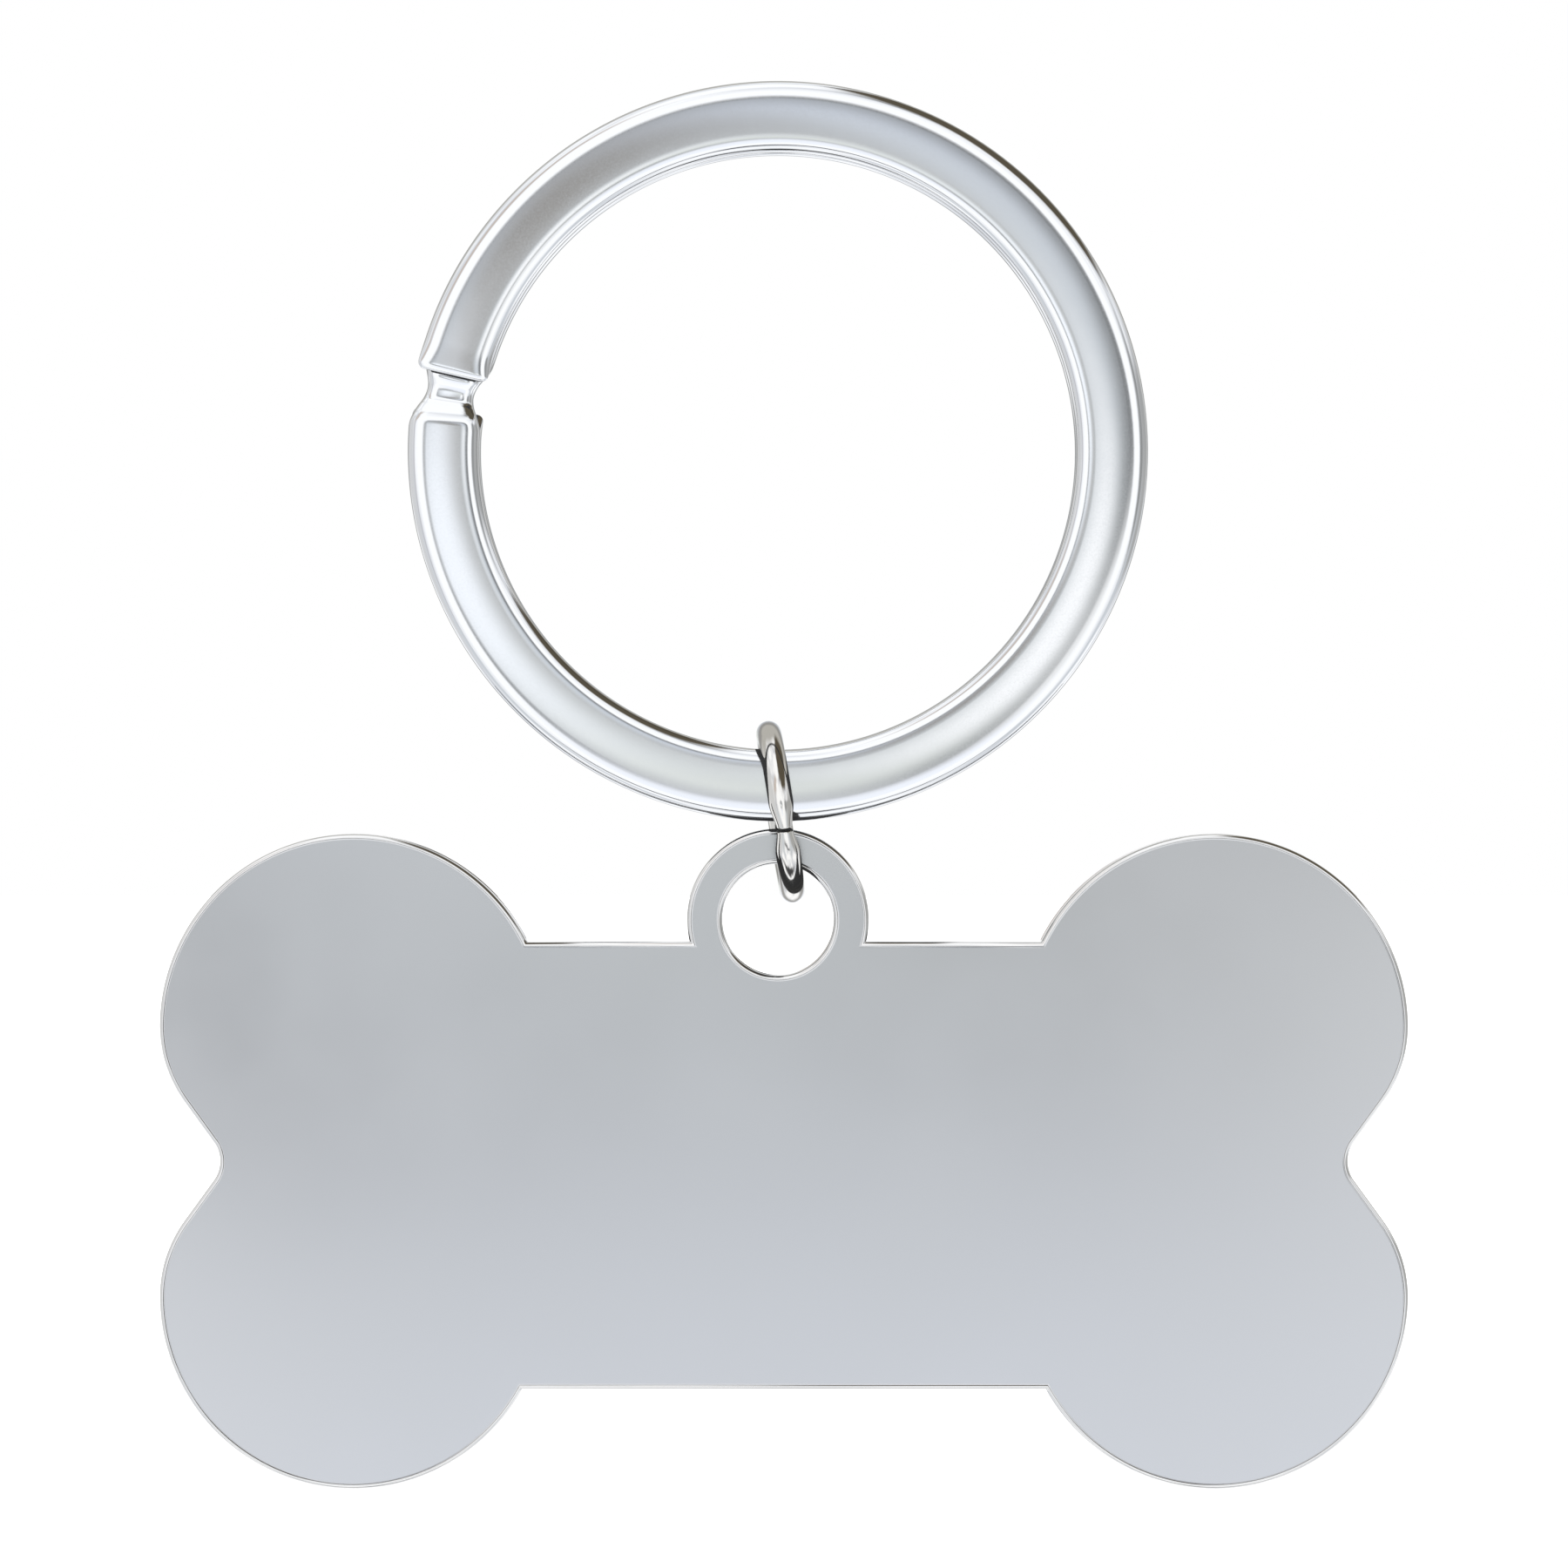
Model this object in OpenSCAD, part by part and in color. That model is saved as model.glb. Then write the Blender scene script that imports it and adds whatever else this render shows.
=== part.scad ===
// Bone-shaped pet identity tag on a jump ring and a two-coil split ring.
// Millimetres. The tag hangs in the XZ plane with its front facing -Y and +Z up.
// The origin is where a collar's ring carries the split ring: the inner top of its band.

/* [Tag plate] */
// Width of the tag over its lobes
tag_w = 50; // [44:0.5:60]
// Height of the tag over its lobes
tag_h = 26.2; // [24:0.2:32]
// Thickness of the plate
tag_t = 1.4; // [1.2:0.1:1.5]
// Radius of each of the four lobes
lobe_r = 7.75; // [6.8:0.05:8.6]
// Height of the straight bar between the lobes
bar_h = 17.88; // [15:0.1:20]
// Drop of the bar's middle below the middle of the lobes
bar_drop = 0.17; // [0:0.02:0.4]
// How far the straight flanks of the end notches cut into the lobes' circles
flank_bite = 0.54; // [0.3:0.02:0.9]
// Radius in the bottom of each notch
notch_r = 1.3; // [0.8:0.05:2]
// Angle of the notch's flanks from the vertical
notch_angle = 36; // [30:1:42]
// Radius that rounds each lobe into the notch's flank
flank_r = 5.2; // [4:0.1:6]
// Rounding of the plate's edges
edge_r = 0.15; // [0.1:0.01:0.3]

/* [Tag loop] */
// Outer radius of the loop on top of the bar
loop_r = 3.64; // [3.2:0.02:4.2]
// Radius of the hole through the loop
hole_r = 2.24; // [2:0.02:2.5]
// Height of the loop's centre above the top edge of the bar
loop_up = 0.9; // [0.5:0.05:1.5]
// Distance of the loop to the left of the tag's middle
loop_shift = 0.24; // [0:0.02:0.5]

/* [Split ring] */
// Outer diameter of the split ring
ring_d = 29.66; // [24:0.2:36]
// Width of the flat band
band_w = 2.87; // [2.4:0.02:3.4]
// Thickness of one coil
coil_t = 0.88; // [0.86:0.01:0.92]
// Rounding of the band's edges
band_r = 0.4; // [0.3:0.02:0.42]
// Hairline between the two coils
coil_gap = 0.04; // [0.02:0.01:0.08]
// Narrowing of the neck on each side, where the strip steps from coil to coil
neck_in = 0.48; // [0.3:0.02:0.8]
// Thinning of the strip in the neck
neck_thin = 0.28; // [0.1:0.02:0.4]

/* [Jump ring] */
// Thickness of the jump ring's round wire
wire_d = 0.98; // [0.8:0.02:1.2]
// Room that the jump ring leaves beside the band and the loop's rim together
ring_room = 1.1; // [0.8:0.02:1.6]
// Lean of the jump ring's top to the left
lean = 8.5; // [0:0.1:12]
// Turn of the jump ring away from edge-on
turn = 1.4; // [0:0.2:4]
// Angle of the cut in the jump ring below its foremost point
cut_angle = 11.8; // [5:0.2:20]
// Width of the cut
cut_gap = 0.06; // [0.04:0.01:0.1]
// Narrowing of the wire's pinched ends on each side
pinch = 0.14; // [0.05:0.01:0.2]

/* [Fit] */
// Gap between the jump ring and the band that carries it
seat_gap = 0.19; // [0.1:0.01:0.3]
// Gap between the band and the top of the tag's loop
hang_gap = 0.3; // [0.26:0.02:0.5]

/* [Hidden] */
$fn = 96;

// Angles on the split ring, anticlockwise from +X as seen from the front
front_end_at = 167;
back_end_at = 173;
step_from = 168;
step_to = 174.6;
neck_outer_at = 169.4;
neck_inner_at = 169.8;
neck_span = 6.6;
neck_from = 162.5;
neck_to = 177;

// Split ring
ring_r = ring_d / 2;
ring_in_r = ring_r - band_w;
layer = (coil_t + coil_gap) / 2;
end_r = 0.3;
// How far a swept piece reaches into a coil, and how much slimmer it is there
tuck_angle = 1.5;
tuck_in = 0.015;
// Angle that a rounded end of the strip takes up
end_span = end_r / ring_r / PI * 180;

// Jump ring
rim_w = loop_r - hole_r;
jump_in_r = (band_w + rim_w + ring_room) / cos(lean) / 2;
jump_r = jump_in_r + wire_d / 2;
pinch_span = 22;
cut_half = cut_gap / jump_r / PI * 90;

// Places, from the split ring's centre
ring_z = -ring_in_r;
jump_x = 0.1;
jump_z = ring_z - ring_in_r + seat_gap - jump_in_r * cos(lean);
loop_z = ring_z - ring_r - hang_gap - loop_r;

// Tag plate
lobe_x = tag_w / 2 - lobe_r;
lobe_y = tag_h / 2 - lobe_r;
bar_top = bar_h / 2 - bar_drop;
bar_bottom = bar_h / 2 + bar_drop;
loop_y = bar_top + loop_up;
// How far the band of the rounded edges reaches into the plate
rim_tuck = 3 * edge_r;

// Steps of the swept and skinned surfaces
corner_steps = 3;
edge_steps = 2;
end_steps = 5;
lobe_steps = 30;
flank_steps = 6;
notch_steps = 4;
loop_steps = 34;
wire_sides = 24;
neck_step = 0.5;
pinch_step = 2;
// Overrun of a cut past the faces it goes through
over = 1;

// Smooth rise from 0 to 1 as x goes from a to b
function ease(x, a, b) =
    let (t = min(1, max(0, (x - a) / (b - a))))
    t * t * (3 - 2 * t);

// Smooth bump that is 1 at c and 0 at c - h and c + h
function bump(x, c, h) = abs(x - c) < h ? pow(cos(90 * (x - c) / h), 2) : 0;

// Points on an arc from angle a to angle b
function arc(c, r, a, b, steps) =
    [for (i = [0 : steps]) let (t = a + (b - a) * i / steps) c + r * [cos(t), sin(t)]];

function mirrored(points, sx, sy) = [for (p = points) [p[0] * sx, p[1] * sy]];

function reversed(points) = [for (i = [len(points) - 1 : -1 : 0]) points[i]];

// Side faces between a list of rings of n points, each pair of them split into triangles
function side_faces(n, pairs) =
    [for (pair = pairs, j = [0 : n - 1])
        let (a = pair[0] * n, b = pair[1] * n, k = (j + 1) % n)
        each [[a + j, b + j, b + k], [a + j, b + k, a + k]]];

// Closed solid through a list of rings that hold the same number of points
module skin(rings) {
    n = len(rings[0]);
    last = len(rings) - 1;
    sides = side_faces(n, [for (i = [0 : last - 1]) [i, i + 1]]);
    bottom = [for (j = [0 : n - 1]) j];
    top = [for (j = [n - 1 : -1 : 0]) last * n + j];
    polyhedron(points = [for (ring = rings) each ring], faces = concat([bottom], sides, [top]));
}

// Endless band through a list of rings, the last of them joined to the first
module band(rings) {
    m = len(rings);
    sides = side_faces(len(rings[0]), [for (i = [0 : m - 1]) [(i + 1) % m, i]]);
    polyhedron(points = [for (ring = rings) each ring], faces = sides);
}

// Outline of the upper right quarter, from the notch's middle to the bar's edge,
// drawn in by d. The flank is a straight line between the notch and the lobe.
function quarter(d, bar_edge) =
    let (
        out = [cos(notch_angle), -sin(notch_angle)],
        along = [sin(notch_angle), cos(notch_angle)],
        lobe = [lobe_x, lobe_y],
        near = lobe_r - flank_bite,
        notch = [lobe_x + (near + notch_r - lobe_y * sin(notch_angle)) / cos(notch_angle), 0],
        reach = near - flank_r,
        rise = sqrt(pow(lobe_r - flank_r, 2) - reach * reach),
        blend = lobe + reach * out + rise * along,
        meet = atan2(blend[1] - lobe[1], blend[0] - lobe[0]),
        end = 180 - asin((bar_edge - d - lobe_y) / (lobe_r - d))
    )
    concat(
        arc(notch, notch_r + d, 180, 180 - notch_angle, notch_steps),
        arc(blend, flank_r - d, -notch_angle, meet, flank_steps),
        [for (i = [1 : lobe_steps])
            let (t = meet + (end - meet) * i / lobe_steps)
            lobe + (lobe_r - d) * [cos(t), sin(t)]]
    );

function without_first(points) = [for (i = [1 : len(points) - 1]) points[i]];

// Whole outline of the tag, anticlockwise from the right-hand notch, drawn in by d
function outline(d) =
    let (
        upper = quarter(d, bar_top),
        lower = quarter(d, bar_bottom),
        dip = asin((bar_top - d - loop_y) / (loop_r - d))
    )
    concat(
        upper,
        arc([-loop_shift, loop_y], loop_r - d, dip, 180 - dip, loop_steps),
        reversed(mirrored(upper, -1, 1)),
        without_first(mirrored(lower, -1, -1)),
        reversed(mirrored(without_first(lower), 1, -1))
    );

// Plate centred on z = 0: a flat core with a band round it that rounds its edges
module plate() {
    lower = [for (i = [0 : edge_steps]) let (t = 90 * i / edge_steps)
        [edge_r * (1 - sin(t)), -tag_t / 2 + edge_r * (1 - cos(t))]];
    upper = [for (p = reversed(lower)) [p[0], -p[1]]];
    section = concat(lower, upper, [[rim_tuck, 0]]);
    lines = [for (p = section) outline(p[0])];
    linear_extrude(tag_t, center = true) polygon(outline(edge_r));
    band([for (i = [0 : len(lines[0]) - 1])
        [for (k = [0 : len(section) - 1]) [lines[k][i][0], lines[k][i][1], section[k][1]]]]);
}

// Round hole with the same rounded edges at both faces
module rounded_hole(r, t, e) {
    cylinder(h = t + 2 * over, r = r, center = true);
    for (side = [0, 1]) mirror([0, 0, side])
        rotate_extrude()
            difference() {
                translate([r - e, t / 2 - e]) square([2 * e, e + over]);
                translate([r + e, t / 2 - e]) circle(e);
            }
}

module bone_tag() {
    color([0.77, 0.79, 0.82])
        translate([loop_shift, 0, loop_z - loop_y])
            rotate([90, 0, 0])
                difference() {
                    plate();
                    translate([-loop_shift, loop_y, 0]) rounded_hole(hole_r, tag_t, edge_r);
                }
}

// Rounded section of the strip in radius and height, drawn in at its inner edge, outer edge and faces
function strip_section(z, in_inner, in_outer, in_face) =
    let (
        r0 = ring_in_r + in_inner,
        r1 = ring_r - in_outer,
        half = coil_t / 2 - in_face,
        c = min(band_r, half, (r1 - r0) / 2)
    )
    concat(
        arc([r1 - c, z - half + c], c, 0, -90, corner_steps),
        arc([r0 + c, z - half + c], c, -90, -180, corner_steps),
        arc([r0 + c, z + half - c], c, 180, 90, corner_steps),
        arc([r1 - c, z + half - c], c, 90, 0, corner_steps)
    );

// Coil of the strip from angle a to angle b
module coil(a, b, z) {
    rotate_extrude(start = a, angle = b - a) polygon(strip_section(z, 0, 0, 0));
}

// Ring of points round the strip at angle a
function strip_ring(a, z, in_inner, in_outer, in_face) =
    [for (p = strip_section(z, in_inner, in_outer, in_face)) [p[0] * cos(a), p[0] * sin(a), p[1]]];

// Narrowed neck in which the strip steps from the back coil to the front one
module neck() {
    skin([for (a = [neck_from - tuck_angle : neck_step : neck_to + tuck_angle])
        let (
            squeeze = bump(a, (neck_outer_at + neck_inner_at) / 2, neck_span),
            z = -layer + 2 * layer * ease(a, step_from, step_to)
        )
        strip_ring(
            a, z,
            tuck_in + neck_in * bump(a, neck_inner_at, neck_span),
            tuck_in + neck_in * bump(a, neck_outer_at, neck_span),
            tuck_in + neck_thin / 2 * squeeze
        )]);
}

// Rounded free end of the strip at angle a, where way is 1 or -1 along the strip
module strip_end(a, z, way) {
    turns = [for (i = [0 : end_steps]) 90 * i / end_steps];
    angles = concat([-tuck_angle - end_span], [for (t = turns) end_span * (sin(t) - 1)]);
    insets = concat([0], [for (t = turns) end_r * (1 - cos(t))]);
    rings = [for (i = [0 : end_steps + 1])
        strip_ring(a + way * angles[i], z, tuck_in + insets[i], tuck_in + insets[i], tuck_in + insets[i])];
    skin(way > 0 ? rings : reversed(rings));
}

module split_ring() {
    color([0.84, 0.86, 0.89])
        translate([0, 0, ring_z])
            rotate([90, 0, 0]) {
                coil(neck_to, front_end_at + 360 - end_span, layer);
                coil(back_end_at + end_span, neck_from + 360, -layer);
                neck();
                strip_end(front_end_at, layer, 1);
                strip_end(back_end_at, -layer, -1);
            }
}

// Ring of points round the jump ring's wire at angle a, drawn in sideways by d
function wire_ring(a, d) =
    [for (i = [0 : wire_sides - 1])
        let (
            t = -360 * i / wire_sides,
            r = jump_r + (wire_d / 2 - tuck_in - d / 2) * cos(t)
        )
        [r * cos(a), r * sin(a), (wire_d / 2 - tuck_in - d) * sin(t)]];

// Pinched end of the wire beside the cut, where way is 1 or -1 round the ring
module pinched_end(way) {
    rings = [for (a = [cut_half : pinch_step : pinch_span + 2 * pinch_step])
        wire_ring(way * a, pinch * (1 - ease(a, cut_half, pinch_span)))];
    skin(way > 0 ? rings : reversed(rings));
}

// Jump ring in its own plane, with the cut at angle 0
module open_ring() {
    rotate_extrude(start = pinch_span, angle = 360 - 2 * pinch_span)
        translate([jump_r, 0]) circle(wire_d / 2);
    pinched_end(1);
    pinched_end(-1);
}

module jump_ring() {
    color([0.72, 0.73, 0.74])
        translate([jump_x, 0, jump_z])
            rotate([0, -lean, 0])
                rotate([0, 0, turn])
                    multmatrix([[0, 0, 1, 0], [-1, 0, 0, 0], [0, -1, 0, 0]])
                        rotate([0, 0, cut_angle])
                            open_ring();
}

split_ring();
jump_ring();
bone_tag();
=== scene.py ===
"""Pet identity tag: a bone-shaped steel plate on a wire jump ring and a flat wound split ring.

Sizes are in millimetres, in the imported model's frame: +Z up, the tag's front facing -Y. Angles on
the rings are in degrees, anticlockwise from +X as seen from the front.
"""

import math

import bmesh
import bpy
from mathutils import Matrix, Vector


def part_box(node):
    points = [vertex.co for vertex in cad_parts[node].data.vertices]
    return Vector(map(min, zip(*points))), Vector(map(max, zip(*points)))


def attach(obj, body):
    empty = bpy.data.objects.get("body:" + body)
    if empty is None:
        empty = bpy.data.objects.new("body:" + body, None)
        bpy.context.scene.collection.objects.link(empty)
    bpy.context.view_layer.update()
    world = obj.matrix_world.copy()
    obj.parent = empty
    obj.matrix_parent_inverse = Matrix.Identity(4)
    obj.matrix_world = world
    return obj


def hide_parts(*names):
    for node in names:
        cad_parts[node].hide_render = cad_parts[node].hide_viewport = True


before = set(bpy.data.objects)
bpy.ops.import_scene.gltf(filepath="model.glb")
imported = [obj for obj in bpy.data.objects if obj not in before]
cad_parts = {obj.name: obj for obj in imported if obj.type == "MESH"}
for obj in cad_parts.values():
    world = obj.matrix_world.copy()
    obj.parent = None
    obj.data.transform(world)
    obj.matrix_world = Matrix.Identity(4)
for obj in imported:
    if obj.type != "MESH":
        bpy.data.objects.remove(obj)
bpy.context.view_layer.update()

MM = 0.001


def box_mm(node_name):
    """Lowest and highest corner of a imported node, in millimetres."""
    low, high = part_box(node_name)
    return low / MM, high / MM


ring_low, ring_high = box_mm("split_ring")
wire_low, wire_high = box_mm("jump_ring")
tag_low, tag_high = box_mm("bone_tag")

# Split ring: a flat strip wound twice, with a pressed neck where it changes coil. The trim keeps the
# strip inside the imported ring's box.
RING_TRIM = 0.004
RING_R = (ring_high.x - ring_low.x) / 2 - RING_TRIM
RING_Z = (ring_high.z + ring_low.z) / 2
RING_T = ring_high.y - ring_low.y
BAND_W = 2.87
COIL_GAP = 0.04
COIL_T = (RING_T - COIL_GAP) / 2
LAYER = (COIL_T + COIL_GAP) / 2
BACK_END_AT = 172.6
FRONT_END_AT = 167 + 720
# How far the strip has stepped forward, as a share, at angles on the second coil: it starts behind the
# front end, dips in the pressed neck and climbs to the front coil
STEP_PROFILE = [
    (161.8, 0.0), (162.9, 0.06), (165.8, 0.62), (167.0, 0.686), (167.45, 0.708), (168.0, 0.693),
    (168.8, 0.666), (170.2, 0.654), (171.5, 0.662), (172.3, 0.71), (173.4, 0.85), (174.4, 0.967),
    (175.2, 1.0)]
NECK_OUTER_AT = 169.6 + 360
NECK_INNER_AT = 170.0 + 360
NECK_SPAN = 6.6
NECK_OUTER_IN = 0.54
NECK_INNER_IN = 0.44
NECK_THIN = 0.06
PRESS_AT = 170.3 + 360
PRESS_SPAN = 3.8
END_R = 0.3
# Each end is ground to a wedge on the side that lies on the strip
END_TAPER = 0.63
TAPER_LENGTH = 1.2
# Exponent of the strip's section: 2 is an ellipse, and more is flatter with rounder edges
STRIP_SQUARENESS = 7.0
# How much lower the strip's face is at its edges than in its middle, as a share of its thickness
STRIP_CROWN = 0.065
# How much closer the strip's points lie at its ends and in its neck than on average, from 0 to 1
STRIP_CROWDING = 0.86

# Jump ring: round wire, cut in front with side cutters
WIRE_D = 0.98
LEAN = 8.5
TURN = 1.4
CUT_ANGLE = 11.8
CUT_GAP = 0.1
PINCH = 0.17
PINCH_SPAN = 19
WIRE_END_R = 0.06
WIRE_CROWDING = 0.9
JUMP_X = 0.1
JUMP_Z = (wire_high.z + wire_low.z) / 2
JUMP_R = (wire_high.z - wire_low.z - WIRE_D) / 2 / math.cos(math.radians(LEAN))

# Tag plate
TAG_W = tag_high.x - tag_low.x
TAG_H = 26.2
TAG_T = tag_high.y - tag_low.y
TAG_X = (tag_high.x + tag_low.x) / 2
TAG_Z = tag_low.z + TAG_H / 2
LOBE_R = 7.75
BAR_H = 17.88
BAR_DROP = 0.17
FLANK_BITE = 0.54
NOTCH_R = 1.3
NOTCH_ANGLE = 36
FLANK_R = 5.2
EDGE_R = 0.16
EDGE_STEPS = 6
# Flat strip of the face beside the rounded edge, which keeps the large face's shading flat
EDGE_MARGIN = 0.06
LOOP_R = 3.64
HOLE_R = 2.24
LOOP_UP = 0.9
LOOP_SHIFT = 0.24

MATH = "ShaderNodeMath"
VECTOR_MATH = "ShaderNodeVectorMath"

# Camera: distance from the tag's plane, height, and the photograph's focal length in its own pixels
PHOTO_PX = 1800
FOCAL_PX = 5145
CAMERA_X = 0.244
CAMERA_Y = -180
CAMERA_Z = -25.29
SENSOR_W = 36

# Floor, whose paper turns from shaded to plain white between two distances from its middle
FLOOR_DROP = 14
FLOOR_W = 3000
PAPER_GLOW = 0.1
PAPER_SHADED_TO = 90
PAPER_WHITE_FROM = 220

# Lamp: a disk's width and power, and where it hangs, in metres and watts
LAMP_W = 0.5
LAMP_POWER = 6
LAMP_AT = (-0.2, -0.35, 0.6)


def linear(hex_colour):
    """sRGB hex colour as linear red, green, blue and alpha."""
    parts = [int(hex_colour[i:i + 2], 16) / 255 for i in (0, 2, 4)]
    return [p / 12.92 if p <= 0.04045 else ((p + 0.055) / 1.055) ** 2.4 for p in parts] + [1.0]


def feed(tree, socket, value):
    """Gives an input its value, or the socket it comes from. A node stands for its first output."""
    if isinstance(value, bpy.types.Node):
        value = value.outputs[0]
    if isinstance(value, bpy.types.NodeSocket):
        tree.links.new(value, socket)
    else:
        socket.default_value = value


def add(tree, kind, inputs=None, **settings):
    """Adds a node with its settings and its inputs, which are given by name or number."""
    new = tree.nodes.new(kind)
    for name, value in settings.items():
        setattr(new, name, value)
    for key, value in (inputs or {}).items():
        feed(tree, new.inputs[key], value)
    return new


def add_object(name, data):
    """New object in the scene."""
    new = bpy.data.objects.new(name, data)
    bpy.context.scene.collection.objects.link(new)
    return new


def new_material(name):
    """Node material without any nodes."""
    material = bpy.data.materials.new(name)
    material.use_nodes = True
    material.node_tree.nodes.clear()
    return material, material.node_tree


def polished_stainless_sheet():
    """Stainless sheet, lapped to a soft mirror: a smooth pale grey that blurs the studio a little, with
    faint lapping marks that only show close up."""
    material, tree = new_material("polished_stainless_sheet")
    place = add(tree, "ShaderNodeTexCoord").outputs["Object"]
    # Lapping marks are 0.05 mm apart and run across the plate, drawn 20 times longer than wide
    marks_place = add(tree, "ShaderNodeMapping", {"Vector": place, "Scale": (0.05, 1, 1)})
    marks = add(tree, "ShaderNodeTexNoise", {
        "Vector": marks_place.outputs[0], "Scale": 1 / (0.05 * MM), "Detail": 2.0})
    cloud = add(tree, "ShaderNodeTexNoise", {"Vector": place, "Scale": 1 / (9 * MM), "Detail": 3.0})
    rough = add(tree, "ShaderNodeMapRange", {
        "Value": cloud.outputs["Fac"], "From Min": 0.3, "From Max": 0.7, "To Min": 0.15, "To Max": 0.19})
    bump = add(tree, "ShaderNodeBump", {
        "Height": marks.outputs["Fac"], "Strength": 0.06, "Distance": 0.002 * MM})
    # The rounded edges are rubbed smoother than the faces, and a painted highlight makes their colour
    # brighter
    burnish_and_edge_highlight = add(tree, "ShaderNodeAttribute", attribute_name="burnish_and_edge_highlight").outputs["Fac"]
    colour = add(tree, "ShaderNodeMixRGB", {0: burnish_and_edge_highlight, 1: linear("D1D3D6"), 2: linear("F0F0F0")})
    rubbed = add(tree, MATH, {0: burnish_and_edge_highlight, 1: -0.1, 2: rough}, operation="MULTIPLY_ADD")
    shader = add(tree, "ShaderNodeBsdfPrincipled", {
        "Base Color": colour, "Metallic": 1.0, "Roughness": rubbed, "Normal": bump})
    add(tree, "ShaderNodeOutputMaterial", {"Surface": shader})
    return material


def bright_nickel_strip():
    """Bright nickel plate on rolled spring steel: a clear mirror with a slight ripple from the rolling."""
    material, tree = new_material("bright_nickel_strip")
    place = add(tree, "ShaderNodeTexCoord").outputs["Object"]
    ripple = add(tree, "ShaderNodeTexNoise", {"Vector": place, "Scale": 1 / (1.6 * MM), "Detail": 1.0})
    grit = add(tree, "ShaderNodeTexNoise", {"Vector": place, "Scale": 1 / (0.08 * MM), "Detail": 2.0})
    rough = add(tree, "ShaderNodeMapRange", {
        "Value": grit.outputs["Fac"], "From Min": 0.3, "From Max": 0.7, "To Min": 0.05, "To Max": 0.09})
    bump = add(tree, "ShaderNodeBump", {
        "Height": ripple.outputs["Fac"], "Strength": 0.1, "Distance": 0.01 * MM})
    shader = add(tree, "ShaderNodeBsdfPrincipled", {
        "Base Color": linear("EFF1F4"), "Metallic": 1.0,
        "Roughness": rough, "Normal": bump})
    add(tree, "ShaderNodeOutputMaterial", {"Surface": shader})
    return material


def bright_nickel_wire():
    """Bright nickel plate on drawn wire: a clear mirror with small nicks from the forming tools."""
    material, tree = new_material("bright_nickel_wire")
    place = add(tree, "ShaderNodeTexCoord").outputs["Object"]
    nicks = add(tree, "ShaderNodeTexNoise", {"Vector": place, "Scale": 1 / (0.5 * MM), "Detail": 3.0})
    rough = add(tree, "ShaderNodeMapRange", {
        "Value": nicks.outputs["Fac"], "From Min": 0.3, "From Max": 0.7, "To Min": 0.06, "To Max": 0.12})
    bump = add(tree, "ShaderNodeBump", {
        "Height": nicks.outputs["Fac"], "Strength": 0.15, "Distance": 0.01 * MM})
    shader = add(tree, "ShaderNodeBsdfPrincipled", {
        "Base Color": linear("EDECEA"), "Metallic": 1.0,
        "Roughness": rough, "Normal": bump})
    add(tree, "ShaderNodeOutputMaterial", {"Surface": shader})
    return material


def new_tree(name, inputs):
    """Geometry Nodes tree with named number inputs, and its group input's sockets."""
    tree = bpy.data.node_groups.new(name, "GeometryNodeTree")
    for label, value in inputs:
        kind = "NodeSocketInt" if isinstance(value, int) else "NodeSocketFloat"
        tree.interface.new_socket(label, in_out="INPUT", socket_type=kind).default_value = value
    tree.interface.new_socket("Geometry", in_out="OUTPUT", socket_type="NodeSocketGeometry")
    return tree, add(tree, "NodeGroupInput").outputs


def rail_share(tree, size, crowding, crowds):
    """Share of the way along the rail, from 0 to 1, whose points crowd together at both ends and at
    evenly spaced places between them."""
    index = add(tree, "GeometryNodeInputIndex")
    last = add(tree, MATH, {0: size["Rail points"], 1: 1.0}, operation="SUBTRACT")
    share = add(tree, MATH, {0: index, 1: last}, operation="DIVIDE")
    turns = add(tree, MATH, {0: share, 1: 2 * math.pi * crowds}, operation="MULTIPLY")
    wave = add(tree, MATH, {0: turns}, operation="SINE")
    shift = add(tree, MATH, {0: wave, 1: crowding / (2 * math.pi * crowds)}, operation="MULTIPLY")
    return add(tree, MATH, {0: share, 1: shift}, operation="SUBTRACT")


def end_inset(tree, run, radius):
    """How far the surface is drawn in at a distance from a rounded end: a quarter circle's fall."""
    share = add(tree, MATH, {0: run, 1: radius}, operation="DIVIDE", use_clamp=True)
    near = add(tree, MATH, {0: 1.0, 1: share}, operation="SUBTRACT")
    square = add(tree, MATH, {0: near, 1: 2.0}, operation="POWER")
    rest = add(tree, MATH, {0: 1.0, 1: square}, operation="SUBTRACT")
    root = add(tree, MATH, {0: rest}, operation="SQRT")
    fall = add(tree, MATH, {0: 1.0, 1: root}, operation="SUBTRACT")
    return add(tree, MATH, {0: fall, 1: radius}, operation="MULTIPLY")


def share_left(tree, drawn_in, full):
    """Share of a half width that is left where each side is drawn in."""
    half = add(tree, MATH, {0: full, 1: 0.5}, operation="MULTIPLY")
    lost = add(tree, MATH, {0: drawn_in, 1: half}, operation="DIVIDE")
    return add(tree, MATH, {0: 1.0, 1: lost}, operation="SUBTRACT")


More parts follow.
